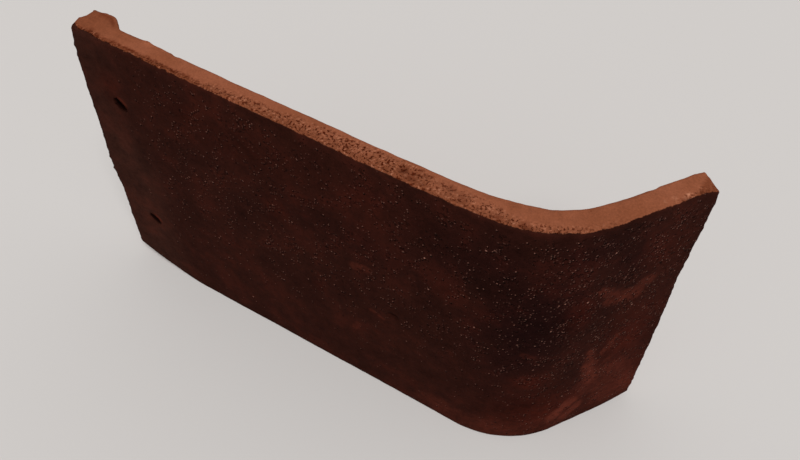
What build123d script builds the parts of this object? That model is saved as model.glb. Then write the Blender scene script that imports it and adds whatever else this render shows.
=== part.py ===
import os
from math import cos, radians, sin, tan

from build123d import *

os.makedirs("parts", exist_ok=True)

# A handmade clay tile of the mansard kind, one fired piece. It stands on one long side edge:
# X runs along the long leg from the head to the tail, Y from the weather face to the back,
# Z up across the width. Millimetres. The origin is the bottom centre of the tile's box.

# Section along the tile, measured on the weather face to the corner where both legs would meet
width = 165.0
long_leg = 249.5
short_leg = 78.0
bend_angle = 57.0
leg_thickness = 11.4
tail_thickness = 10.9
outer_bend_radius = 53.0
inner_bend_radius = 64.0

# Rounded edges
head_arris_radius = 4.0
end_arris_radius = 2.5
side_arris_radius = 1.2

# Nibs, one at each corner of the head, on the back
nib_height = 6.6
nib_crest_depth = 14.5
nib_foot_depth = 24.0
nib_width = 27.0
nib_corner_radius = 3.0
nib_foot_radius = 8.0

# Nail holes
nail_hole_radius = 3.75
nail_hole_from_head = 23.0
nail_hole_spacing = 85.5
nail_hole_shift = 2.7
nail_hole_mouth = 0.7

# Lower head corner, drawn up and narrower than the rest of the tile
head_corner_run = 46.0
head_corner_rise = 8.0
head_corner_blend = 60.0

# Worn upper tail corner
tail_corner_run = 13.0
tail_corner_drop = 3.2
tail_corner_blend = 20.0

# Where the section's points fall, from the head end of the weather face
turn = radians(bend_angle)
tail_end = (long_leg + short_leg * cos(turn), short_leg * sin(turn))
tail_end_back = (tail_end[0] - tail_thickness * sin(turn), tail_end[1] + tail_thickness * cos(turn))
back_corner_along = (leg_thickness - tail_thickness * cos(turn)) / sin(turn)
back_corner = (
    long_leg - tail_thickness * sin(turn) + back_corner_along * cos(turn),
    leg_thickness,
)

# Rounding the tail's end takes a little off its reach, the same in X and in Y
tail_reach_lost = end_arris_radius * (sin(turn) + cos(turn) - 1.0)
length = tail_end[0] - tail_reach_lost
depth = tail_end_back[1] - tail_reach_lost

# Planes through the head end of the weather face
section_plane = Plane(origin=(-length / 2, -depth / 2, 0))
face_plane = Plane(origin=(-length / 2, -depth / 2, 0), x_dir=(1, 0, 0), z_dir=(0, -1, 0))
tail_plane = Plane(
    origin=(long_leg - length / 2, -depth / 2, 0),
    x_dir=(cos(turn), sin(turn), 0),
    z_dir=(sin(turn), -cos(turn), 0),
)


def outline_once(faces):
    """Edges that bound a group of faces, without those between two of the group."""
    edges = [edge for face in faces for edge in face.edges()]
    return [edge for edge in edges if sum(edge.is_same(other) for other in edges) == 1]


with BuildPart() as tile:
    # The bent slab, thicker through the bend because its two bends are not concentric
    with BuildSketch(section_plane):
        with BuildLine():
            FilletPolyline(
                (0, 0),
                (long_leg, 0),
                tail_end,
                tail_end_back,
                back_corner,
                (0, leg_thickness),
                radius=(
                    head_arris_radius,
                    outer_bend_radius,
                    end_arris_radius,
                    end_arris_radius,
                    inner_bend_radius,
                    end_arris_radius,
                ),
                close=True,
            )
        make_face()
    extrude(amount=width)

    # Nibs flush with the side faces, sloping down to the back
    nib_base = leg_thickness / 2
    nib_top = leg_thickness + nib_height
    nib_run_out = nib_foot_depth + 2 * nib_foot_radius
    for start in (0, width - nib_width):
        with BuildSketch(section_plane.offset(start)):
            with BuildLine():
                crest = FilletPolyline(
                    (0, nib_base),
                    (0, nib_top),
                    (nib_crest_depth, nib_top),
                    (nib_foot_depth, leg_thickness),
                    (nib_run_out, leg_thickness),
                    radius=(nib_corner_radius, nib_corner_radius, nib_foot_radius),
                )
                Polyline((nib_run_out, leg_thickness), (nib_run_out, nib_base), (0, nib_base))
            make_face()
        extrude(amount=nib_width)

    # The lower head corner runs up to the head
    with BuildSketch(face_plane):
        with BuildLine():
            FilletPolyline(
                (-head_corner_run, 2 * head_corner_rise),
                (head_corner_run, 0),
                (2 * head_corner_run, 0),
                radius=head_corner_blend,
            )
            Polyline(
                (2 * head_corner_run, 0),
                (2 * head_corner_run, -head_corner_rise),
                (-head_corner_run, -head_corner_rise),
                (-head_corner_run, 2 * head_corner_rise),
            )
        make_face()
    extrude(amount=-2 * nib_top, mode=Mode.SUBTRACT)

    # The upper tail corner is worn down towards the tail's end
    with BuildSketch(tail_plane):
        with BuildLine():
            FilletPolyline(
                (short_leg - 2 * tail_corner_run, width),
                (short_leg - tail_corner_run, width),
                (short_leg + tail_corner_run, width - 2 * tail_corner_drop),
                radius=tail_corner_blend,
            )
            Polyline(
                (short_leg + tail_corner_run, width - 2 * tail_corner_drop),
                (short_leg + tail_corner_run, width + tail_corner_drop),
                (short_leg - 2 * tail_corner_run, width + tail_corner_drop),
                (short_leg - 2 * tail_corner_run, width),
            )
        make_face()
    extrude(amount=2 * tail_thickness, both=True, mode=Mode.SUBTRACT)

    # All round both side faces the arris is rounded
    upright = [face for face in tile.faces() if abs(face.normal_at().Z) > 0.9]
    top_side = [face for face in upright if face.center().Z > width - nib_width / 2]
    bottom_side = [face for face in upright if face.center().Z < nib_width / 2]
    fillet(outline_once(top_side), radius=side_arris_radius)
    fillet(outline_once(bottom_side), radius=side_arris_radius)

    # Nail holes, punched from the weather face, which leaves a small dent round each mouth
    hole_heights = (
        width / 2 + nail_hole_shift + nail_hole_spacing / 2,
        width / 2 + nail_hole_shift - nail_hole_spacing / 2,
    )
    with BuildSketch(face_plane):
        with Locations(*[(nail_hole_from_head, height) for height in hole_heights]):
            Circle(nail_hole_radius)
    extrude(amount=-2 * leg_thickness, mode=Mode.SUBTRACT)
    hole_mouths = [
        edge
        for edge in tile.edges().filter_by(GeomType.CIRCLE)
        if abs(edge.radius - nail_hole_radius) < 0.01 and abs(edge.center().Y + depth / 2) < 0.01
    ]
    chamfer(hole_mouths, length=nail_hole_mouth)

tile.part.label = "tile"
export_step(tile.part, "parts/tile.step")
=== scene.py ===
import math
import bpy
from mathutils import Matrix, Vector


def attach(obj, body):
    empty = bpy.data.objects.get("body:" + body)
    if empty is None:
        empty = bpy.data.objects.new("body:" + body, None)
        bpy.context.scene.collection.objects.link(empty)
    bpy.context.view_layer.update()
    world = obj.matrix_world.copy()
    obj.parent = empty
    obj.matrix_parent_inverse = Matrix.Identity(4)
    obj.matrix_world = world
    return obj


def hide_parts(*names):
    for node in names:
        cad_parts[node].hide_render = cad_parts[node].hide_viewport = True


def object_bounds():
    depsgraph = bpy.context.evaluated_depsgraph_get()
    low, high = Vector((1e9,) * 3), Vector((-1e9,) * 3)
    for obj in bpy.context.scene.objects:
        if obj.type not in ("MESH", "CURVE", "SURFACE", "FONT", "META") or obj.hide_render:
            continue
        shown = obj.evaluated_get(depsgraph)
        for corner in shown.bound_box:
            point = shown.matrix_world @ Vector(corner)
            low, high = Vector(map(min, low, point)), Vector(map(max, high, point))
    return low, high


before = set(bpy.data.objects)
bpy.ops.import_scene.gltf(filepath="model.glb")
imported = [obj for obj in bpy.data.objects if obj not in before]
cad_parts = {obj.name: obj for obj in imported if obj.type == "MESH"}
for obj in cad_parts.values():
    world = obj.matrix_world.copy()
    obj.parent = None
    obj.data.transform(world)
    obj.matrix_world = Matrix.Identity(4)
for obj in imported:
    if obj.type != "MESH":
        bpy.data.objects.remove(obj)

from types import SimpleNamespace

import bpy
import numpy as np
from mathutils import Matrix, Vector

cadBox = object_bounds()
print("frame loaded")

# The tile is shaped in millimetres. Each point has a place in the clay as it was before the
# bend: along from the head, across from the lower side face, deep from the weather face.
mm = 0.001

tileForm = {
    "width": 165.0,
    "longLeg": 249.5,  # weather face, to the corner where both legs would meet
    "shortLeg": 78.0,
    "bendAngle": math.radians(57),
    "legThickness": 11.4,
    "tailThickness": 10.9,
    "outerBend": 53.0,
    "innerBend": 64.0,
    "nibHeight": 6.4,
    "nibCrest": 13.5,
    "nibFoot": 24.0,
    "nibWidth": 25.0,
    "nibSlope": 5.0,  # its inner side runs out over this
    "nibLean": (0.28, 9.0, 12.0),  # its end leans in: how much, deeper than this, over this run
    "nibFootRise": 1.0,  # the slab is thicker round its foot
    "nibFootRun": (38.0, 74.0),
    "nibFootWidth": (32.0, 60.0),
    "holeRadius": 3.6,
    "holeFromHead": 23.0,
    "holeHeights": (42.45, 127.95),
    "holeDent": 0.7,
    "holeFlare": (0.14, 0.05),  # wider at the face and at the back, as a share
    "holeSlant": math.radians(43),  # the punch pressed each mouth longer along this slant
    "holeStretch": 0.08,
    "holePress": (0.45, 0.16),  # and narrower on its upper and its lower side
    "pressShare": (0.12, 0.4),  # of the thickness, where that fades
    "pressReach": 1.4,  # hole radii, where it starts to fade round the mouth
    "holeBlend": 2.6,  # hole radii in which the mesh lines bend round a hole
    "headArris": 3.8,  # roundings
    "backArris": 2.0,
    "sideArris": 1.3,
    "tailArris": 0.7,
    "cornerRun": 47.0,  # lower head corner, drawn up and curled back
    "cornerRise": 8.0,
    "cornerWidth": 70.0,
    "cornerCurl": 1.9,
    "curlRun": 55.0,
    "curlWidth": 60.0,
    "headSetback": 2.2,  # its lower part stands further in
    "setbackRun": 45.0,
    "setbackFade": (78.0, 52.0),
    "tailWearRun": (10.5, 6.0),  # worn upper tail corner, at the face and at the back
    "tailWearDrop": (2.9, 1.5),
    "tailWearWidth": 14.0,
    "tailFoot": (17.0, 25.0, 3.0),  # lower tail corner, worn over this run and width, up by this much
    # How far the head's and the tail's edges stand out, across, and the back, along
    "headEdge": (
        (0, 25, 45, 68, 88, 100, 122, 140, 155, 165),
        (1.0, 0.7, 0.1, 0.7, 0.5, 0.0, 0.6, 0.2, -0.6, 0.2),
    ),
    "tailEdge": ((0, 40, 80, 108, 125, 146, 165), (0.0, 0.3, -0.2, -1.2, -0.5, 0.8, 0.2)),
    "backEdge": (
        (190, 208, 224, 236, 250, 262, 276, 300, 314),
        (0.0, 0.6, 0.7, 0.2, -0.6, -0.3, 0.6, 0.5, 0.0),
    ),
    # Unevenness of the whole form: height and size of its swells
    "arrisWander": (0.35, 14.0),  # as a share of the rounding
    "sideWander": (0.35, 30.0),
    "endWander": (0.25, 9.0),
    "camber": (0.35, 110.0),
    "edgeBand": 12.0,  # how far in from an edge its wander reaches
    "meshStep": 1.02,
    "fineStep": 0.36,  # at the edges, and how fast it grows from there
    "stepGrowth": 0.12,
    "throughSteps": 16,
    "holeSteps": 4,  # mesh steps from a nail hole's middle to its wall
    "backStride": 4,  # mesh steps that each face of the plain back spans
    "backRim": 6,  # mesh steps of finer border round it
    "backStart": 52.0,
}


def smooth(low, high, x):
    t = np.clip((x - low) / (high - low), 0, 1)
    return t * t * (3 - 2 * t)


def hump(x, middle, reach):
    return np.exp(-(((x - middle) / reach) ** 2))


def softNoise(points, size, seed):
    # Value noise from -1 to 1, with lumps of about the given size
    table = np.random.default_rng(seed).uniform(-1, 1, (32, 32, 32))
    spot = points / size + 100.37
    base = np.floor(spot).astype(int)
    part = spot - base
    part = part * part * (3 - 2 * part)
    total = np.zeros(len(points))
    for corner in range(8):
        step = np.array([corner & 1, corner >> 1 & 1, corner >> 2 & 1])
        near = (base + step) % 32
        weight = np.prod(np.where(step, part, 1 - part), axis=1)
        total += weight * table[near[:, 0], near[:, 1], near[:, 2]]
    return total


def layeredNoise(points, size, seed, layers=3):
    total = np.zeros(len(points))
    for layer in range(layers):
        total += softNoise(points, size / 2**layer, seed + layer) / 2**layer
    return total / (2 - 0.5 ** (layers - 1))


def gradedLine(start, stop, fineStart=False, fineEnd=False):
    # Places from start to stop, closer together towards the ends that are asked for
    reach = stop - start
    places = [0.0]
    while places[-1] < reach:
        gap = tileForm["meshStep"]
        if fineStart:
            gap = min(gap, tileForm["fineStep"] + tileForm["stepGrowth"] * places[-1])
        if fineEnd:
            left = max(reach - places[-1], 0)
            gap = min(gap, tileForm["fineStep"] + tileForm["stepGrowth"] * left)
        places.append(places[-1] + gap)
    return start + np.array(places) * reach / places[-1]


def joinLines(*lines):
    return np.concatenate([lines[0]] + [line[1:] for line in lines[1:]])


turn = tileForm["bendAngle"]
bendTangent = tileForm["outerBend"] * math.tan(turn / 2)
legRun = tileForm["longLeg"] - bendTangent
bendRun = tileForm["outerBend"] * turn
tileLength = legRun + bendRun + tileForm["shortLeg"] - bendTangent  # along the weather face


def weatherFace(along):
    # Where a place along the weather face is, seen from above, and which way it has turned
    angle = np.clip((along - legRun) / tileForm["outerBend"], 0, turn)
    tail = np.maximum(along - legRun - bendRun, 0)
    x = np.minimum(along, legRun) + tileForm["outerBend"] * np.sin(angle) + tail * math.cos(turn)
    y = tileForm["outerBend"] * (1 - np.cos(angle)) + tail * math.sin(turn)
    return x, y, angle


def slabThickness(along):
    # Square to the weather face. The inner bend has its own centre, so the bend is thicker.
    leg, tail, bend = (tileForm[name] for name in ("legThickness", "tailThickness", "innerBend"))
    x, y, angle = weatherFace(along)
    overLeg = (leg - y) / np.cos(angle)
    pastCorner = (x - tileForm["longLeg"]) * math.sin(turn) - y * math.cos(turn)
    overTail = (tail + pastCorner) / np.cos(turn - angle)
    cornerAlong = (leg - tail * math.cos(turn)) / math.sin(turn)
    cornerX = tileForm["longLeg"] - tail * math.sin(turn) + cornerAlong * math.cos(turn)
    offX = x - (cornerX - bend * math.tan(turn / 2))
    offY = y - (leg + bend)
    nearest = offX * np.sin(angle) - offY * np.cos(angle)
    overArc = nearest - np.sqrt(np.maximum(nearest**2 - offX**2 - offY**2 + bend**2, 0))
    hit = np.arctan2(offX - overArc * np.sin(angle), -offY - overArc * np.cos(angle))
    flat = np.where(hit <= 0, overLeg, overTail)
    return np.where((hit > 0) & (hit < turn), overArc, flat)


def nibThickness(along, across):
    # Two nibs, one at each corner of the head, flush with the side faces
    fromSide = np.minimum(across, tileForm["width"] - across)
    lengthwise = 1 - smooth(tileForm["nibCrest"], tileForm["nibFoot"], along)
    crosswise = 1 - smooth(tileForm["nibWidth"], tileForm["nibWidth"] + tileForm["nibSlope"], fromSide)
    foot = (1 - smooth(*tileForm["nibFootRun"], along)) * (1 - smooth(*tileForm["nibFootWidth"], fromSide))
    rise = tileForm["nibFootRise"] * foot * (1 - lengthwise)
    return tileForm["nibHeight"] * lengthwise * crosswise + rise


def tileLattice():
    # The slab as a lattice of places: only those on its skin and on the nail holes' walls are used
    reach = tileForm["holeRadius"]
    hole = tileForm["holeFromHead"]
    low, high = tileForm["holeHeights"]
    ring = np.linspace(-reach, reach, 2 * tileForm["holeSteps"] + 1)
    alongLine = joinLines(
        gradedLine(0, hole - reach, fineStart=True),
        hole + ring,
        gradedLine(hole + reach, tileLength, fineEnd=True),
    )
    acrossLine = joinLines(
        gradedLine(0, low - reach, fineStart=True),
        low + ring,
        gradedLine(low + reach, high - reach),
        high + ring,
        gradedLine(high + reach, tileForm["width"], fineEnd=True),
    )
    even = np.linspace(-1, 1, tileForm["throughSteps"] + 1)
    throughLine = 0.5 + 0.5 * np.sign(even) * (1 - (1 - np.abs(even)) ** 1.5)
    return alongLine, acrossLine, throughLine


def skinFaces(alongLine, acrossLine, throughLine):
    counts = (len(alongLine), len(acrossLine), len(throughLine))
    holes = []
    for height in tileForm["holeHeights"]:
        middle = (
            int(np.argmin(np.abs(alongLine - tileForm["holeFromHead"]))),
            int(np.argmin(np.abs(acrossLine - height))),
        )
        holes.append([(m - tileForm["holeSteps"], m + tileForm["holeSteps"]) for m in middle])
    cells = np.ones((counts[0] - 1, counts[1] - 1), bool)
    for (a0, a1), (c0, c1) in holes:
        cells[a0:a1, c0:c1] = False
    number = np.arange(np.prod(counts)).reshape(counts)
    quads = []

    def addQuads(p, q, r, s):
        quads.append(np.stack([p, q, r, s], axis=-1).reshape(-1, 4))

    stride, rim = tileForm["backStride"], tileForm["backRim"]
    first = int(np.searchsorted(alongLine, tileForm["backStart"]))
    last = first + (counts[0] - 2 - rim - first) // stride * stride
    plain = np.zeros_like(cells)
    plain[first:last, rim:-rim] = True
    triangles = []
    for layer, flip in ((0, False), (-1, True)):
        sheet = number[:, :, layer]
        corners = [sheet[:-1, :-1], sheet[1:, :-1], sheet[1:, 1:], sheet[:-1, 1:]]
        kept = cells & ~plain if flip else cells
        corners = [corner[kept] for corner in corners]
        addQuads(*(corners[::-1] if flip else corners))
    # Long faces on the plain back, with a row of triangles where they meet its finer borders
    coarse = number[first : last + 1 : stride, rim:-rim, -1]
    addQuads(coarse[:-1, 1:-2], coarse[:-1, 2:-1], coarse[1:, 2:-1], coarse[1:, 1:-2])
    borders = (number[:, rim, -1], coarse[:, 1], False), (number[:, -rim - 1, -1], coarse[:, -2], True)
    for outer, inner, flip in borders:
        for step in range(stride):
            start = outer[first + step : last : stride]
            stop = outer[first + step + 1 : last + 1 : stride]
            apex = inner[:-1] if step < stride // 2 else inner[1:]
            triangles.append(np.stack([start, stop, apex] if flip else [start, apex, stop], axis=-1))
        middle = outer[first + stride // 2 : last : stride]
        triangles.append(np.stack([middle, inner[:-1], inner[1:]][:: -1 if flip else 1], axis=-1))

    def addWall(strip, flip):
        corners = [strip[:-1, :-1], strip[:-1, 1:], strip[1:, 1:], strip[1:, :-1]]
        addQuads(*(corners[::-1] if flip else corners))

    addWall(number[:, 0, :], False)
    addWall(number[:, -1, :], True)
    addWall(number[0, :, :], True)
    addWall(number[-1, :, :], False)
    for (a0, a1), (c0, c1) in holes:
        addWall(number[a0 : a1 + 1, c0, :], True)
        addWall(number[a0 : a1 + 1, c1, :], False)
        addWall(number[a0, c0 : c1 + 1, :], False)
        addWall(number[a1, c0 : c1 + 1, :], True)
    quads, triangles = np.concatenate(quads), np.concatenate(triangles)
    used, order = np.unique(np.concatenate([quads.ravel(), triangles.ravel()]), return_inverse=True)
    faces = [order[: quads.size].reshape(-1, 4), order[quads.size :].reshape(-1, 3)]
    i, j, k = np.unravel_index(used, counts)
    return alongLine[i], acrossLine[j], throughLine[k], faces


def openHoles(along, across, share):
    # The lattice squares round each nail hole become circles. The punched mouth is wider, and
    # pressed longer and narrower along a slant.
    reach, blendReach = tileForm["holeRadius"], tileForm["holeBlend"] * tileForm["holeRadius"]
    slantCos, slantSin = math.cos(tileForm["holeSlant"]), math.sin(tileForm["holeSlant"])
    faceFlare, backFlare = tileForm["holeFlare"]
    for number, height in enumerate(tileForm["holeHeights"]):
        offAlong, offAcross = along - tileForm["holeFromHead"], across - height
        square = np.maximum(np.abs(offAlong), np.abs(offAcross))
        circle = np.hypot(offAlong, offAcross)
        angle = np.arctan2(offAcross, offAlong)
        mouth = 1 + faceFlare * np.exp(-share / 0.1) + backFlare * np.exp(-(1 - share) / 0.1)
        uneven = 1 + 0.05 * np.sin(2 * angle + 1 + number) + 0.03 * np.sin(3 * angle + 2.5 * number)
        blend = smooth(reach, blendReach, square)
        wanted = square * mouth * uneven * (1 - blend) + circle * blend
        grow = np.where(square < blendReach, wanted / np.maximum(circle, 1e-6), 1)
        pressed = 1 - smooth(tileForm["pressReach"] * reach, blendReach, circle * grow)
        pressed = pressed * (1 - smooth(*tileForm["pressShare"], share))
        lengthwise = (slantCos * offAlong - slantSin * offAcross) * grow
        lengthwise = lengthwise * (1 + tileForm["holeStretch"] * pressed)
        crosswise = (slantSin * offAlong + slantCos * offAcross) * grow
        crosswise = crosswise * (1 - np.where(crosswise > 0, *tileForm["holePress"]) * pressed)
        along = tileForm["holeFromHead"] + slantCos * lengthwise + slantSin * crosswise
        across = height - slantSin * lengthwise + slantCos * crosswise
    return along, across


def roundArrises(along, across, deep, thick, wander):
    # Pulls the slab's edges in to their roundings
    share = deep / thick
    head = hump(along, 0, 9)
    tail = hump(along, tileLength, 8)
    front = tileForm["sideArris"] + (tileForm["headArris"] - tileForm["sideArris"]) * head
    back = tileForm["sideArris"] + (tileForm["backArris"] - tileForm["sideArris"]) * head
    reach = (front * (1 - share) + back * share) * (1 + wander)
    reach += (tileForm["tailArris"] - reach) * tail * smooth(100, 160, across)
    places = np.stack([along, across, deep], axis=1)
    limits = np.stack([np.full_like(along, tileLength), np.full_like(along, tileForm["width"]), thick], 1)
    inner = np.clip(places, reach[:, None], limits - reach[:, None])
    outward = places - inner
    length = np.linalg.norm(outward, axis=1)
    scale = np.where(length > 1e-6, reach / np.maximum(length, 1e-6), 0)
    return (inner + outward * scale[:, None]).T


def wanderOf(name, place, seed, layers=3):
    height, size = tileForm[name]
    return height * layeredNoise(place, size, seed, layers)


def towards(distance, reach):
    # 1 at an edge, 0 from this reach inward
    return np.clip(1 - distance / reach, 0, 1)


def handWork(place, share, fromEnd, fromSide):
    # The drawn-up corner, the worn corners and the edges that wander
    along, across, deep = place.T
    width = tileForm["width"]
    fromTail = tileLength - along
    rise = tileForm["cornerRise"] * towards(along, tileForm["cornerRun"]) ** 1.15
    lifted = rise * towards(across, tileForm["cornerWidth"]) ** 1.5
    wearRun, wearDrop = (np.interp(share, (0, 1), tileForm[name]) for name in ("tailWearRun", "tailWearDrop"))
    lowered = wearDrop * towards(fromTail, wearRun)
    lowered = lowered * towards(width - across, tileForm["tailWearWidth"]) ** 1.5
    footRun, footWidth, footRise = tileForm["tailFoot"]
    raised = footRise * towards(fromTail, footRun) ** 1.3 * towards(across, footWidth)
    flatPlace = place * [1, 1, 0.2]
    sideWander = wanderOf("sideWander", flatPlace, 11) * hump(fromSide, 0, tileForm["edgeBand"])
    acrossNow = across + lifted + raised - lowered + sideWander * np.sign(across - width / 2)

    setBack = smooth(*tileForm["setbackFade"], across) * towards(along, tileForm["setbackRun"])
    leanShare, leanStart, leanRun = tileForm["nibLean"]
    lean = leanShare * np.maximum(deep - leanStart, 0) * towards(along, leanRun)
    edges = (np.interp(across, *tileForm[name]) for name in ("headEdge", "tailEdge"))
    endWander = np.where(along < tileLength / 2, *edges) + wanderOf("endWander", flatPlace, 17)
    endWander = endWander * hump(fromEnd, 0, tileForm["edgeBand"])
    alongNow = along + setBack * tileForm["headSetback"] + lean + endWander * np.sign(along - tileLength / 2)

    curl = towards(alongNow, tileForm["curlRun"]) ** 1.6 * towards(acrossNow, tileForm["curlWidth"]) ** 1.6
    camber = wanderOf("camber", place * [1, 1, 0], 23, 2)
    return alongNow, acrossNow, deep + curl * tileForm["cornerCurl"] + camber


def tileShape():
    along, across, share, faces = skinFaces(*tileLattice())
    thick = slabThickness(along) + nibThickness(along, across)
    thick = thick + np.interp(along, *tileForm["backEdge"]) * smooth(100, 140, across)
    deep = share * thick
    fromEnd = np.minimum(along, tileLength - along)
    fromSide = np.minimum(across, tileForm["width"] - across)
    fromFace = np.minimum(deep, thick - deep)
    toArris = np.sort(np.stack([fromEnd, fromSide, fromFace]), axis=0)[1]  # for a point of the skin
    wander = wanderOf("arrisWander", np.stack([along, across, deep], axis=1), 3)
    along, across = openHoles(along, across, share)
    place = roundArrises(along, across, deep, thick, wander).T
    along, across, deep = handWork(place, share, fromEnd, fromSide)
    x, y, angle = weatherFace(along)
    points = np.stack([x - deep * np.sin(angle), y + deep * np.cos(angle), across], axis=1)
    return points, faces, place, toArris, share


points, tileFaces, place, toArris, share = tileShape()
print("tile lattice", len(points), "points,", sum(len(faces) for faces in tileFaces), "faces")


def meshOf(name, points, faceGroups):
    mesh = bpy.data.meshes.new(name)
    mesh.vertices.add(len(points))
    mesh.vertices.foreach_set("co", points.astype(np.float32).ravel())
    corners = np.concatenate([faces.ravel() for faces in faceGroups]).astype(np.int32)
    sides = np.concatenate([np.full(len(faces), faces.shape[1]) for faces in faceGroups])
    mesh.loops.add(len(corners))
    mesh.loops.foreach_set("vertex_index", corners)
    mesh.polygons.add(len(sides))
    mesh.polygons.foreach_set("loop_start", (np.cumsum(sides) - sides).astype(np.int32))
    mesh.update(calc_edges=True)
    return mesh


def normalsOf(mesh):
    normals = np.zeros(len(mesh.vertices) * 3, np.float32)
    mesh.vertex_normals.foreach_get("vector", normals)
    return normals.reshape(-1, 3).astype(float)


relief = {
    # Height and size of the skin's unevenness
    "swell": (0.2, 34.0),
    "lump": (0.12, 9.0),
    "sandClump": (0.11, 3.4),  # on the sanded face
    "sideDrag": (0.1, 1.8),  # along the cut side faces
    "backDrag": (0.16, 3.2),  # where the back was struck off
    "arrisWaver": (0.3, 5.5),
    "chip": (0.9, 7.5),
    "tornClay": 0.4,  # on the upper side face
    "tornLumps": 0.4,
    "pitSize": 2.6,
    "lumpSize": 5.0,
    "lumpZone": (206.0, 34.0),  # along
    "sidePits": (  # along, deep, reach, depth
        (180.0, 5.8, 1.8, 1.4),
        (184.5, 4.0, 2.8, 0.5),
        (189.0, 6.8, 1.6, 0.3),
        (201.0, 6.5, 1.8, 0.35),
        (207.5, 4.6, 2.2, 0.35),
        (223.0, 2.6, 2.0, 0.5),
        (235.0, 2.8, 2.4, 0.45),
        (12.0, 4.0, 1.9, 0.6),
        (7.5, 2.4, 1.7, 0.5),
        (16.5, 2.8, 1.6, 0.45),
        (305.0, 0.6, 1.8, 0.5),
    ),
    "sideLumps": (
        (192.5, 5.0, 2.2, 0.5),
        (197.0, 3.6, 2.4, 0.45),
        (211.5, 6.0, 2.6, 0.5),
        (4.5, 3.6, 1.6, 0.5),
    ),
    "cornerWear": 2.9,  # upper head corner
    "cornerReach": (5.5, 7.0, 2.6),
    "headBulge": 0.5,  # the nib's end, under that corner
    "crumb": 0.55,  # stuck on the upper back arris
    "crumbPlace": (40.0, 164.5, 12.0),
    "crumbReach": (2.0, 1.6, 1.4),
    "lip": 0.4,  # pressed up along the upper front arris, with a groove behind it
    "nibLip": 0.7,
    "scars": (  # along, across, reach along, reach across, tilt, depth
        (180.5, 68.5, 2.6, 1.5, 0.0, 1.3),
        (171.5, 63.0, 5.5, 1.8, -0.3, 0.4),
        (63.0, 140.0, 9.0, 5.0, 0.0, 0.2),
        (162.0, 93.5, 6.5, 3.2, 0.0, 0.3),
        (159.0, 43.5, 2.4, 3.4, -0.3, 0.35),
        (290.0, 112.0, 11.0, 5.5, -0.3, 0.35),
        (290.0, 58.0, 6.0, 16.0, 0.1, 0.3),
        (38.5, 146.0, 8.0, 0.8, -1.0, 0.3),
    ),
    "dentReach": 2.4,  # round a nail hole
}


def uneven(name, place, seed, layers=2):
    height, size = relief[name]
    return height * layeredNoise(place, size, seed, layers)


def onUpperSide(across):
    return smooth(tileForm["width"] - 4, tileForm["width"] - 1.5, across)


def faceScars(place, clump):
    along, across = place.T[:2]
    depth = np.zeros(len(place))
    for scarAlong, scarAcross, reachAlong, reachAcross, tilt, scarDepth in relief["scars"]:
        u, v = along - scarAlong, across - scarAcross
        lengthwise = (u * math.cos(tilt) + v * math.sin(tilt)) / reachAlong
        crosswise = (v * math.cos(tilt) - u * math.sin(tilt)) / reachAcross
        depth += scarDepth * np.exp(-(lengthwise**4) - crosswise**4) * (1 + 0.5 * clump)
    return depth


def holeDent(place):
    along, across = place.T[:2]
    dent = np.zeros(len(place))
    for holeHeight in tileForm["holeHeights"]:
        fromWall = np.hypot(along - tileForm["holeFromHead"], across - holeHeight) - tileForm["holeRadius"]
        dent += np.exp(-((np.maximum(fromWall, 0) / relief["dentReach"]) ** 2))
    return dent


def upperSideRelief(place, side, pits):
    # Torn clay, pits and lumps, and a lip with a groove behind it that the mould's edge pressed up
    along, across, deep = place.T
    lumps = layeredNoise(place, relief["lumpSize"], 57, 2)
    height = side * relief["tornClay"] * tornClay(place) * (pits - 0.25)
    height += relief["tornLumps"] * hump(along, *relief["lumpZone"]) * (1 - smooth(7.5, 10, deep)) * lumps
    for sign, spots in ((-1, relief["sidePits"]), (1, relief["sideLumps"])):
        for spotAlong, spotDeep, reach, amount in spots:
            away = np.hypot(along - spotAlong, deep - spotDeep) + 0.5 * pits
            height += sign * side * amount * np.exp(-((np.maximum(away, 0) / reach) ** 3))
    wobble = 0.9 * layeredNoise(place * [1, 0, 0], 16, 71, 3)
    pressed = relief["lip"] * smooth(4, 14, along) * (1 - smooth(95, 125, along))
    height += pressed * hump(deep, 1.4 + wobble, 1.1) * (0.5 + 1.3 * pits)
    height -= pressed * hump(deep, 3.4 + wobble, 1.0) * (0.4 + 1.2 * lumps)
    nibBack = hump(along, 11, 8) * smooth(13.4, 15.2, deep)
    height += relief["nibLip"] * nibBack * (1 + 0.6 * pits)
    return height * onUpperSide(across)


def arrisWear(place, toArris, face, pits):
    # Waver and chips along the arrises, more of them at both ends, and the worn upper head corner
    along, across, deep = place.T
    under = 1 - smooth(1.0, 4.0, across)
    ends = 1.5 * hump(along, 0, 6) + 0.6 * hump(along, tileLength, 5)
    ragged = 1 + 1.2 * onUpperSide(across) * face * hump(along, 225, 35) + ends
    height, size = relief["arrisWaver"]
    waver = height * ragged * (0.4 + layeredNoise(place, size, 59, 3) + 1.5 * pits * ends)
    depth, size = relief["chip"]
    chip = depth * np.clip((softNoise(place, size, 61) - 0.52) * 3.3, 0, 1)
    worn = np.exp(-((toArris / 1.5) ** 2)) * waver * (1 - 0.8 * under)
    worn += np.exp(-((toArris / 2.2) ** 2)) * chip * (1 - under)
    fromCorner = np.linalg.norm((place - [0, tileForm["width"], 0]) / relief["cornerReach"], axis=1)
    worn += relief["cornerWear"] * np.exp(-(fromCorner**2))
    nibEnd = (1 - smooth(0, 3, along)) * smooth(tileForm["width"] - 16, tileForm["width"] - 3, across)
    return worn - relief["headBulge"] * nibEnd * hump(deep, 5.5, 3.4)


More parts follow.
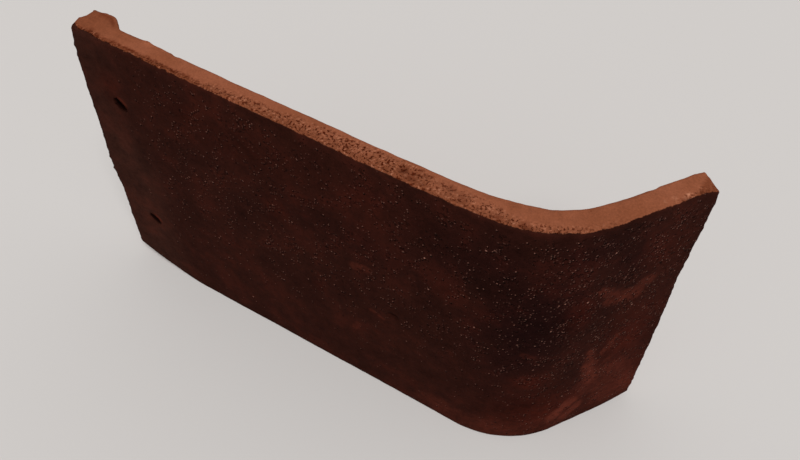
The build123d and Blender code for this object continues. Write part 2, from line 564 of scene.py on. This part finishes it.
def skinRelief(place, toArris, share):
    # How far each point of the skin stands out, in millimetres
    face = 1 - smooth(0.0, 0.13, share)
    back = smooth(0.87, 1.0, share)
    side = (1 - face) * (1 - back)
    clumpHeight, clumpSize = relief["sandClump"]
    clump = layeredNoise(place, clumpSize, 41, 2)
    pits = layeredNoise(place, relief["pitSize"], 53, 2)
    dent = holeDent(place)
    height = uneven("swell", place, 31) + uneven("lump", place, 37)
    height += face * clumpHeight * (clump + 0.5 * np.maximum(clump, 0))
    height += side * uneven("sideDrag", place * [0.12, 1, 1], 43)
    height += back * uneven("backDrag", place * [0.06, 1, 0.3], 47)
    height += upperSideRelief(place, side, pits)
    fromCrumb = np.linalg.norm((place - relief["crumbPlace"]) / relief["crumbReach"], axis=1)
    height += relief["crumb"] * np.exp(-(fromCrumb**2))
    height -= arrisWear(place, toArris, face, pits)
    height -= face * (faceScars(place, clump) + tileForm["holeDent"] * dent)
    return height + back * 0.5 * dent


# The upper side face: how deep its rough clay reaches, and how rough it is, along the tile
roughClay = {
    "along": (0, 15, 22, 50, 80, 110, 150, 175, 200, 215, 235, 250, 265, 285, 296, 302, 310, 318),
    "reach": (5, 5, 2.6, 3.4, 4.2, 6.0, 8.5, 10.0, 8.0, 7.5, 5.5, 4.0, 5.5, 3.0, 2.0, 2.5, 3.0, 4.0),
    "strength": (
        *(0.9, 0.9, 0.7, 0.8, 0.8, 0.9, 1.0, 1.0, 0.7),
        *(0.85, 1.0, 1.0, 0.35, 0.05, 0.1, 0.25, 0.6, 0.4),
    ),
}


def tornClay(place):
    along, deep = place.T[0], place.T[2]
    reach = np.interp(along, roughClay["along"], roughClay["reach"])
    strength = np.interp(along, roughClay["along"], roughClay["strength"])
    uneven = 1.5 * layeredNoise(place, 8, 97, 2)
    return strength * (1 - smooth(reach - 1.6, reach + 1.2, deep + uneven))


sanding = {
    # Where the sand is thin and the clay shows: from, to, reach, strength
    "thin": (
        ((275.5, 121.5), (284, 114), 2.8, 0.5),
        ((284, 112.5), (296, 108.5), 5.6, 0.66),
        ((296, 111), (301, 116), 4.6, 0.52),
        ((282, 70), (284, 58), 3.0, 0.6),
        ((284, 57), (290, 38), 4.6, 0.72),
        ((290, 64), (296, 76), 2.0, 0.42),
        ((291, 50), (299, 58), 2.2, 0.3),
        ((271, 14), (280, 24), 4.6, 0.8),
        ((280, 9), (286, 17), 3.8, 0.74),
        ((296, 38), (312, 16), 15.0, 0.45),
        ((205, 5), (276, 8), 11.0, 0.3),
        ((158, 93), (167, 95), 2.6, 0.32),
        ((168, 64.5), (175, 62), 1.2, 0.32),
        ((160, 47), (158, 41), 1.8, 0.22),
        ((246, 81), (251, 79), 2.2, 0.2),
    ),
    # Where it is reddish, and where purple: along, across, reaches, strength
    "red": (
        (302, 70, 20, 34, 0.42),
        (312, 25, 26, 36, 0.36),
        (269, 108, 8, 13, 0.4),
        (262, 24, 24, 22, 0.5),
        (10, 44, 14, 34, 0.1),
        (253, 56, 8, 9, 0.25),
        (306, 132, 16, 18, 0.2),
        (69, 143, 11, 9, 0.25),
        (114, 108, 7, 10, 0.2),
        (165, 146, 6, 9, 0.25),
        (207, 108, 6, 7, 0.2),
        (138, 63, 4, 5, 0.2),
        (20, 138, 8, 8, 0.3),
        (98, 140, 50, 20, 0.14),
        (160, 141, 38, 17, 0.12),
    ),
    "purple": (
        (246, 104, 26, 50, 0.9),
        (226, 136, 42, 26, 0.6),
        (165, 112, 46, 15, 0.35),
        (262, 150, 30, 12, 0.6),
        (287, 140, 12, 14, 0.6),
    ),
    # Pale chips in the upper side face: along, deep, reach, strength
    "chips": (
        (307, 1.4, 2.4, 0.5),
        (301, 3.0, 1.2, 0.25),
        (296.5, 3.4, 1.2, 0.25),
        (40, 1.6, 1.6, 0.3),
    ),
    # How far sand reaches past the upper front arris, along the tile, and past the other arrises
    "wrapAlong": (0, 3, 6, 12, 21, 25, 60, 100, 150, 187, 205, 216, 222, 236, 246, 262, 276, 290, 306, 322),
    "wrapReach": (
        *(5.5, 4.6, 2.8, 2.4, 2.1, 1.2, 0.5, 0.0, -0.5, -0.9),
        *(-0.8, 0.0, 0.4, 0.7, 1.2, 1.0, 0.5, 0.4, 0.0, 0.5),
    ),
    "wrapElsewhere": 0.9,
    "wrapChange": (148, 161),  # across
    # Along the tile: where the bare head ends, where the grains begin, and where the tail's do
    "headEnd": (18, 52),
    "grainStart": (16, 62),
    "tailStart": (225, 265),
}


def thinPatches(place):
    # Streaky patches where the sand came away
    along, across = place.T[:2]
    streaks = 2.2 * layeredNoise(place * [0.7, 1, 1], 3.6, 101, 3)
    thin = np.zeros(len(place))
    for start, stop, reach, strength in sanding["thin"]:
        run = np.subtract(stop, start)
        share = np.clip(((along - start[0]) * run[0] + (across - start[1]) * run[1]) / (run @ run), 0, 1)
        away = np.hypot(along - start[0] - share * run[0], across - start[1] - share * run[1]) + streaks
        thin = np.maximum(thin, strength * (1 - smooth(0.5 * reach, 1.25 * reach, away)))
    return thin


def zoneMark(name, along, across):
    total = np.zeros(len(along))
    for middleAlong, middleAcross, reachAlong, reachAcross, strength in sanding[name]:
        spread = ((along - middleAlong) / reachAlong) ** 2 + ((across - middleAcross) / reachAcross) ** 2
        total = np.maximum(total, strength * np.exp(-spread))
    return total


def holeMarks(place):
    # Painted shade on the nail holes' walls, and a painted highlight on each mouth's raised side
    along, across, deep = place.T
    walls, lipHighlight = np.zeros(len(place)), np.zeros(len(place))
    for holeHeight in tileForm["holeHeights"]:
        fromAlong, fromAcross = along - tileForm["holeFromHead"], across - holeHeight
        away = np.hypot(fromAlong, fromAcross)
        # painted shade on each hole's wall
        wall = (1 - smooth(0, 1.5, away - tileForm["holeRadius"])) * smooth(0.3, 1.6, deep)
        walls = np.maximum(walls, wall)
        outside = away - 0.85 * tileForm["holeRadius"]
        # painted highlight on the mouth's raised upper side
        raised = smooth(0.3, 0.9, (0.68 * fromAlong + 0.73 * fromAcross) / tileForm["holeRadius"])
        raised = raised * np.exp(-((outside / 1.1) ** 2))
        lipHighlight = np.maximum(lipHighlight, raised * (1 - smooth(0.5, 1.4, deep)))
    return walls * (1 - smooth(9, 11, deep)), lipHighlight


def sandMarks(place, wander):
    along, across, deep = place.T
    tail = smooth(*sanding["tailStart"], along)
    slanting = along + 5 * layeredNoise(place, 26, 89, 2) + 14 * smooth(60, 150, across)
    head = 1 - smooth(*sanding["headEnd"], slanting)
    head = head * (1 - 0.4 * smooth(85, 125, across))
    cover = smooth(*sanding["grainStart"], along) * (1 - 0.9 * smooth(159, 163, across))
    cover = cover * (0.12 + 0.3 * tail + 0.56 * smooth(25, 85, across)) * (0.76 + 0.4 * tail)
    inward = np.min([along, tileLength - along, across, tileForm["width"] - across], axis=0)
    inward = inward * (1 - smooth(3, 6, deep))  # no sand on the back
    wrap = np.interp(along, sanding["wrapAlong"], sanding["wrapReach"])
    nearUpper = smooth(*sanding["wrapChange"], across)
    holeShade, lipHighlight = holeMarks(place)
    scarAlong, scarAcross = relief["scars"][0][:2]
    slit = ((along - scarAlong) / 2.2) ** 4 + ((across - scarAcross) / 1.0) ** 4 + deep
    return {
        # thin sand, and the painted highlight on each nail hole's lip
        "thinSandAndLipHighlight": np.maximum(thinPatches(place), lipHighlight),
        "purpleSand": zoneMark("purple", along + wander, across + wander),
        "redSand": zoneMark("red", along + wander, across + wander),
        "headSand": head,
        "grainCover": cover,
        "pastSand": deep - inward - (wrap * nearUpper + sanding["wrapElsewhere"] * (1 - nearUpper)),
        # painted shade in the nail holes and in the first scar's slit
        "pitShade": np.maximum(holeShade, 0.6 * np.exp(-slit)),
    }


def upperSideMarks(place, wander):
    # What darkens or chips the upper side face: painted shade in its pits, in the groove by its lip and in a
    # band on the nib, pale chips, and painted shade on the tail corner's facet
    along, across, deep = place.T
    upper = onUpperSide(across)
    pitAndGrooveShade, chipped = np.zeros(len(place)), np.zeros(len(place))
    # painted shade in the side pits
    for pitAlong, pitDeep, reach, depth in relief["sidePits"]:
        away = np.maximum(np.hypot(along - pitAlong, deep - pitDeep) + 0.4 * wander, 0)
        pitAndGrooveShade = np.maximum(pitAndGrooveShade, min(1.3 * depth, 1) * np.exp(-((away / reach) ** 3)))
    # painted shade along the groove behind the lip
    groove = hump(deep, 3.0 + 0.7 * wander, 0.8) * smooth(6, 14, along) * (1 - smooth(55, 85, along))
    broken = np.clip(0.6 + 1.5 * layeredNoise(place, 3.0, 103, 2), 0, 1)
    pitAndGrooveShade = np.maximum(pitAndGrooveShade, 0.6 * groove * broken)
    for chipAlong, chipDeep, reach, amount in sanding["chips"]:
        away = np.hypot(along - chipAlong, deep - chipDeep) + 0.5 * wander
        chipped = np.maximum(chipped, amount * (1 - smooth(0.5 * reach, reach, away)))
    # painted shade in a band just inside the nib's raised lip
    fromBack = slabThickness(along) + nibThickness(along, across) - deep
    nibLipShade = hump(fromBack, 2.4, 1.0) * smooth(5, 9, along) * (1 - smooth(17, 22, along))
    # painted shade on the tail corner's sloping facet
    facet = smooth(-0.6, 0.8, along - 312 - 1.6 * (deep - 2) + 0.4 * wander) * smooth(145, 160, across)
    return {
        "pitAndGrooveShade": upper * pitAndGrooveShade,
        "chippedClay": upper * chipped,
        "nibLipShade": upper * nibLipShade,
        "facetShade": facet,
    }


def keepAttribute(mesh, name, values):
    kind, part = ("FLOAT_VECTOR", "vector") if values.ndim == 2 else ("FLOAT", "value")
    attribute = mesh.attributes.new(name, kind, "POINT")
    attribute.data.foreach_set(part, values.astype(np.float32).ravel())


def makeTile():
    draft = meshOf("draft", points, tileFaces)
    height = skinRelief(place, toArris, share)
    shaped = points + normalsOf(draft) * height[:, None]
    bpy.data.meshes.remove(draft)
    shaped[:, 2] = np.maximum(shaped[:, 2], 0)  # its lower side rests on the floor
    headFace = np.array([cadBox[0][0], cadBox[0][1], 0])
    mesh = meshOf("clayTile", shaped * mm + headFace, tileFaces)
    mesh.shade_smooth()
    wander = 1.6 * layeredNoise(place, 5, 83, 3)
    marks = {"place": place, "relief": height, "tornClay": tornClay(place)}
    marks |= sandMarks(place, wander) | upperSideMarks(place, wander)
    for name, values in marks.items():
        keepAttribute(mesh, name, values)
    tile = bpy.data.objects.new("clayTile", mesh)
    bpy.context.scene.collection.objects.link(tile)
    return tile


tile = makeTile()
tile.data.calc_loop_triangles()
print("tile made,", len(tile.data.loop_triangles), "triangles")


def paint(red, green, blue):
    # A colour as seen on screen, 0 to 255, as Blender's linear values
    scaled = [c / 255 for c in (red, green, blue)]
    return [c / 12.92 if c <= 0.04045 else ((c + 0.055) / 1.055) ** 2.4 for c in scaled] + [1]


class Wire:
    # A node's output that takes part in plain sums; each sum adds its Math node
    def __init__(self, board, socket):
        self.board = board
        self.socket = socket

    def sum(self, operation, first, second):
        return self.board.add("ShaderNodeMath", {"operation": operation}, {0: first, 1: second})

    def __add__(self, other):
        return self.sum("ADD", self, other)

    def __radd__(self, other):
        return self.sum("ADD", other, self)

    def __sub__(self, other):
        return self.sum("SUBTRACT", self, other)

    def __rsub__(self, other):
        return self.sum("SUBTRACT", other, self)

    def __mul__(self, other):
        return self.sum("MULTIPLY", self, other)

    def __rmul__(self, other):
        return self.sum("MULTIPLY", other, self)

    def __truediv__(self, other):
        return self.sum("DIVIDE", self, other)

    def __neg__(self):
        return self.sum("MULTIPLY", self, -1)


class Board:
    # The node tree of a material or of the world, and the one method that adds a node to it
    def __init__(self, owner):
        owner.use_nodes = True
        self.tree = owner.node_tree
        self.tree.nodes.clear()

    def add(self, kind, settings=None, values=None, output=0):
        node = self.tree.nodes.new(kind)
        for name, value in (settings or {}).items():
            setattr(node, name, value)
        for name, value in (values or {}).items():
            if isinstance(value, Wire):
                self.tree.links.new(value.socket, node.inputs[name])
            else:
                node.inputs[name].default_value = value
        return Wire(self, node.outputs[output] if node.outputs else None)

    def attribute(self, name, output=2):
        return self.add("ShaderNodeAttribute", {"attribute_name": name}, output=output)

    def step(self, value, low, high):
        # 0 below low, 1 above high, or the other way round when high is the lower
        limits = {"Value": value, "From Min": low, "From Max": high}
        return self.add("ShaderNodeMapRange", {"interpolation_type": "SMOOTHSTEP"}, limits)

    def hump(self, value, middle, reach):
        away = (value - middle) / reach
        return self.add("ShaderNodeMath", {"operation": "EXPONENT"}, {0: -(away * away)})

    def noise(self, vector, size, detail=2.0, rough=0.5, shift=0.0, output=0):
        moved = self.move(vector, (shift, 2 * shift, -shift))
        values = {"Vector": moved, "Scale": 1 / size, "Detail": detail, "Roughness": rough}
        return self.add("ShaderNodeTexNoise", {}, values, output)

    def move(self, vector, shift):
        return self.add("ShaderNodeVectorMath", {"operation": "ADD"}, {0: vector, 1: shift})

    def stretch(self, vector, factors):
        return self.add("ShaderNodeVectorMath", {"operation": "MULTIPLY"}, {0: vector, 1: factors})

    def grains(self, vector, size, share, radius, shift=(0, 0, 0)):
        # Spots of about a given radius, each its own size and strength, in a share of the cells
        values = {"Vector": self.move(vector, shift), "Scale": 1 / size}
        away = self.add("ShaderNodeTexVoronoi", {}, values)
        colour = self.add("ShaderNodeTexVoronoi", {}, values, output=1)
        parts = [self.add("ShaderNodeSeparateXYZ", {}, {0: colour}, output=axis) for axis in range(3)]
        picked = self.step(parts[0] - (1 - share), 0.0, 0.02)
        reach = radius * (0.55 + 0.75 * parts[2])
        return picked * (0.2 + 0.8 * parts[1] * parts[1]) * self.step(away, reach, reach * 0.4)

    def blend(self, share, first, second):
        settings = {"data_type": "RGBA", "clamp_factor": True}
        return self.add("ShaderNodeMix", settings, {0: share, 6: first, 7: second}, output=2)

    def shade(self, colour, tone):
        return self.add("ShaderNodeVectorMath", {"operation": "SCALE"}, {0: colour, "Scale": tone})


clayFinish = {
    "umberSand": paint(46, 20, 14),  # the sanded face
    "purpleSand": paint(27, 9, 8),
    "headSand": paint(54, 29, 22),
    # also the painted highlight on the nail holes' raised lips
    "thinSandAndLipHighlight": paint(86, 38, 27),
    "redSand": paint(68, 21, 11),
    # pale sand grains, partly a painted highlight on each grain
    "paleGrainAndHighlight": paint(172, 120, 104),
    # painted shade: the grains' shadows, the crevices between them, the nail holes' walls and a scar's slit
    "shadeBlack": paint(13, 3, 2),
    "terracotta": paint(132, 75, 50),  # the bare clay
    "warmClay": paint(144, 84, 59),
    "oxideClay": paint(110, 57, 34),
    # painted shade in pits, along the groove and inside the nib's lip
    "pitShadeClay": paint(76, 21, 2),
    "paleClay": paint(194, 132, 103),
    "grainGap": 1.35,  # millimetres from grain to grain
    "gritGap": 3.4,
    "crumbSize": 1.2,
    "roughness": 0.9,
    "sheen": 0.02,  # dull sand and fired clay
    "bumpHeight": 0.00045,  # metres
}


def skinTextures(board):
    # Where each point is, and the noises that the sand and the bare clay share, coarse to fine
    place = board.attribute("place", output=1)
    spots = [board.add("ShaderNodeSeparateXYZ", {}, {0: place}, output=axis) for axis in (0, 2)]
    wobble = board.stretch(board.noise(place, 1.3, 1, 0.5, 67, output=1), (0.9, 0.9, 0.9))
    return SimpleNamespace(
        along=spots[0],
        deep=spots[1],
        loose=board.move(place, wobble),  # so that no grain is round
        cloud=board.noise(place, 24, 3, 0.55, 11),
        clump=board.noise(place, 8, 3, 0.6, 17),
        mottle=board.noise(place, 3.2, 3, 0.6, 23),
        fine=board.noise(place, 0.9, 2, 0.7, 31),
        pits=board.noise(place, 1.2, 2, 0.5, 41),
        sweep=board.noise(board.stretch(place, (1, 0.12, 1)), 5, 3, 0.6, 53),
        drag=board.noise(board.stretch(place, (0.07, 1, 0.4)), 3, 3, 0.6, 59),
    )


def sandFinish(board, skin):
    # Umber with purple and red zones, and pale grains, partly real pale sand and partly painted highlight,
    # each beside its own painted shadow
    mottled = 0.7 + 0.6 * skin.mottle
    sand = board.blend(board.attribute("purpleSand"), clayFinish["umberSand"], clayFinish["purpleSand"])
    sand = board.blend(board.attribute("headSand") * mottled, sand, clayFinish["headSand"])
    redClouds = board.step(skin.cloud + (skin.clump - 0.5) * 0.5, 0.5, 0.66) * 0.12
    sand = board.blend(redClouds + board.attribute("redSand") * mottled, sand, clayFinish["redSand"])
    # thin sand, with the painted highlight on the nail holes' lips
    thin = board.attribute("thinSandAndLipHighlight")
    thin = thin + (skin.mottle - 0.5) * 0.4 * board.step(thin, 0, 0.2)
    sand = board.blend(thin, sand, clayFinish["thinSandAndLipHighlight"])
    tone = 1 + (skin.cloud - 0.5) * 1.2 + (skin.clump - 0.5) * 0.85 + (skin.mottle - 0.5) * 0.5
    tone = tone + (skin.sweep - 0.5) * 0.2 + (skin.fine - 0.5) * 0.8
    sand = board.shade(sand, tone)

    cover = board.attribute("grainCover") * (0.1 + board.step(skin.clump, 0.4, 0.62)) * 0.75
    grainGap, gritGap = clayFinish["grainGap"], clayFinish["gritGap"]
    # painted shadow beside each grain and grit, offset to its lower side
    shadows = board.grains(skin.loose, grainGap, cover, 0.62, (-0.34, 0.5, 0))
    grains = board.grains(skin.loose, grainGap, cover, 0.44)
    gritShadows = board.grains(skin.loose, gritGap, cover * 0.4, 0.22, (4.5, 5.8, 5))
    grits = board.grains(skin.loose, gritGap, cover * 0.4, 0.19, (5, 5, 5))
    gaps = board.noise(skin.loose, 1.6, 3, 0.6, 43)
    crevices = board.step(gaps + (skin.clump - 0.5) * 0.3, 0.57, 0.66) * board.step(cover, 0.06, 0.45)
    # painted shadows beside the grains, and painted shade in the crevices between them
    sand = board.blend(shadows * 1.4 + gritShadows + crevices * 0.5, sand, clayFinish["shadeBlack"])
    # pale grains: partly real pale sand, partly painted highlight
    sand = board.blend(grains * 0.54 + grits * 0.9, sand, clayFinish["paleGrainAndHighlight"])
    height = skin.fine * 0.5 + skin.mottle * 0.4 + grains + grits * 1.6 - shadows * 0.6 - crevices * 0.7
    return sand, height


def bareClayFinish(board, skin):
    # The side faces and the back: darker bands by the sand, torn clay, painted shade in pits, along the
    # groove, inside the nib's lip and on the tail facet, drag marks
    along, deep, mottle, clump = skin.along, skin.deep, skin.mottle, skin.clump
    clay = board.blend(board.step(skin.cloud, 0.35, 0.65), clayFinish["terracotta"], clayFinish["warmClay"])
    frontBand = board.step(deep + (mottle - 0.5) * 4, 5.2, 1.5) * board.step(along, 256, 232)
    # a darker band by the head, and painted shade on the tail corner's facet
    headBandAndFacetShade = board.hump(along, 0, 16) * 0.6 + board.attribute("facetShade") * 0.75
    lowBand = board.step(deep + (mottle - 0.5) * 3, 3.8, 2.4) * board.step(along, 92, 70)
    clay = board.blend(frontBand * 0.5 + lowBand * 0.35 + headBandAndFacetShade, clay, clayFinish["oxideClay"])

    torn = board.attribute("tornClay")
    crumb = board.noise(skin.loose, clayFinish["crumbSize"], 3, 0.6, 71)
    # painted shade in the torn clay's pits
    holes = torn * board.step(crumb + (clump - 0.5) * 0.15, 0.555, 0.615)
    clay = board.blend(holes * 0.95, clay, clayFinish["pitShadeClay"])
    crumbs = torn * board.step(crumb, 0.45, 0.36) * board.step(mottle, 0.4, 0.56) * 0.44
    crumbs = crumbs + board.grains(skin.loose, 1.6, 0.03, 0.3) * 0.55
    chips = board.attribute("chippedClay") * board.step(crumb, 0.56, 0.42)
    clay = board.blend(crumbs + chips, clay, clayFinish["paleClay"])
    groove = board.hump(deep + (mottle - 0.5) * 4, 3.1, 0.9) * board.hump(along, 48, 38)
    groove = groove * board.step(clump, 0.4, 0.56) * board.step(skin.pits, 0.4, 0.55)
    # painted shade in the groove, inside the nib's lip and in the pits
    paintedClayShade = (groove + board.attribute("nibLipShade") * 1.1) * 0.55 + board.attribute("pitAndGrooveShade") * 0.7
    clay = board.blend(paintedClayShade, clay, clayFinish["pitShadeClay"])

    back = board.step(deep, 8.5, 10.5)
    clay = board.blend(board.grains(skin.loose, 2.4, 0.16, 0.3) * back * 0.6, clay, clayFinish["oxideClay"])
    tone = 1 + (skin.fine - 0.5) * 0.6 + (mottle - 0.5) * 0.3
    tone = tone + back * ((skin.drag - 0.5) * 0.35 + (clump - 0.5) * 0.6)
    # darker in hollows, painted shade; lighter on raised parts, partly wear and partly painted highlight
    clay = board.shade(clay, tone + board.attribute("relief") * 0.14)
    height = skin.fine * 0.4 - torn * crumb * 2.0 - holes * 0.6 + skin.drag * back * 0.8
    return clay, height


def clayMaterial():
    material = bpy.data.materials.new("sandedClay")
    board = Board(material)
    skin = skinTextures(board)
    sand, sandHeight = sandFinish(board, skin)
    clay, clayHeight = bareClayFinish(board, skin)

    # The sand's edge is frayed, more so towards the head and at the bend
    frayed = 0.55 + board.step(skin.along, 90, 60) * 0.5 + board.step(skin.along, 214, 234) * 0.6
    ragged = (skin.clump - 0.5) * 2.2 + (skin.mottle - 0.5) * 1.8 + (skin.fine - 0.5)
    sanded = board.step(board.attribute("pastSand") + ragged * frayed, 0.35, -0.25)
    colour = board.blend(sanded, clay, sand)
    # painted shade in the nail holes and in the first scar's slit
    colour = board.blend(board.attribute("pitShade"), colour, clayFinish["shadeBlack"])
    height = sanded * sandHeight + (1 - sanded) * clayHeight
    bump = board.add("ShaderNodeBump", {}, {"Distance": clayFinish["bumpHeight"], "Height": height})
    values = {"Base Color": colour, "Roughness": clayFinish["roughness"], "Normal": bump}
    values["Specular IOR Level"] = clayFinish["sheen"]
    shader = board.add("ShaderNodeBsdfPrincipled", {}, values)
    board.add("ShaderNodeOutputMaterial", {}, {"Surface": shader})
    return material


tile.data.materials.append(clayMaterial())
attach(tile, "root")
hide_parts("tile")
print("tile finished")


studio = {
    "floorColour": paint(208, 204, 201),
    "floorReach": 6.0,
    "skyStrength": 0.42,
    "sunStrength": 2.2,
    "sunFrom": (0.45, -0.5, 1.1),
    "sunAngle": math.radians(22),
    "cameraPlace": (0.14961, -0.23434, 0.40512),
    "cameraAim": (0.01451, 0.00482, 0.08002),
    "cameraRoll": math.radians(2.227),
    "lens": 37.824,
}


def makeFloor():
    reach = studio["floorReach"]
    corners = np.array([(-reach, -reach, 0), (reach, -reach, 0), (reach, reach, 0), (-reach, reach, 0)])
    floor = bpy.data.objects.new("floor", meshOf("floor", corners, [np.array([[0, 1, 2, 3]])]))
    bpy.context.scene.collection.objects.link(floor)
    material = bpy.data.materials.new("paleFloor")
    board = Board(material)
    values = {"Base Color": studio["floorColour"], "Roughness": 1.0, "Specular IOR Level": 0.0}
    shader = board.add("ShaderNodeBsdfPrincipled", {}, values)
    board.add("ShaderNodeOutputMaterial", {}, {"Surface": shader})
    floor.data.materials.append(material)


def makeLight():
    world = bpy.data.worlds.new("studioSky")
    bpy.context.scene.world = world
    board = Board(world)
    sky = board.add("ShaderNodeBackground", {}, {"Color": (1, 1, 1, 1), "Strength": studio["skyStrength"]})
    seen = board.add("ShaderNodeBackground", {}, {"Color": studio["floorColour"], "Strength": 1.0})
    kinds = ("Camera", "Glossy", "Transmission")
    rays = [board.add("ShaderNodeLightPath", output=f"Is {kind} Ray") for kind in kinds]
    shown = board.add("ShaderNodeMixShader", {}, {0: rays[0] + rays[1] + rays[2], 1: sky, 2: seen})
    board.add("ShaderNodeOutputWorld", {}, {"Surface": shown})
    sun = bpy.data.lights.new("softKey", "SUN")
    sun.energy = studio["sunStrength"]
    sun.angle = studio["sunAngle"]
    key = bpy.data.objects.new("softKey", sun)
    key.rotation_euler = Vector(studio["sunFrom"]).to_track_quat("Z", "Y").to_euler()
    bpy.context.scene.collection.objects.link(key)


def makeCamera():
    lens = bpy.data.cameras.new("camera")
    lens.lens = studio["lens"]
    lens.clip_start = 0.01
    camera = bpy.data.objects.new("camera", lens)
    place, aim = Vector(studio["cameraPlace"]), Vector(studio["cameraAim"])
    facing = (aim - place).to_track_quat("-Z", "Y").to_matrix().to_4x4()
    camera.matrix_world = Matrix.Translation(place) @ facing @ Matrix.Rotation(studio["cameraRoll"], 4, "Z")
    bpy.context.scene.collection.objects.link(camera)
    bpy.context.scene.camera = camera


makeFloor()
makeLight()
makeCamera()
bpy.context.scene.view_settings.view_transform = "Standard"
print("studio set")
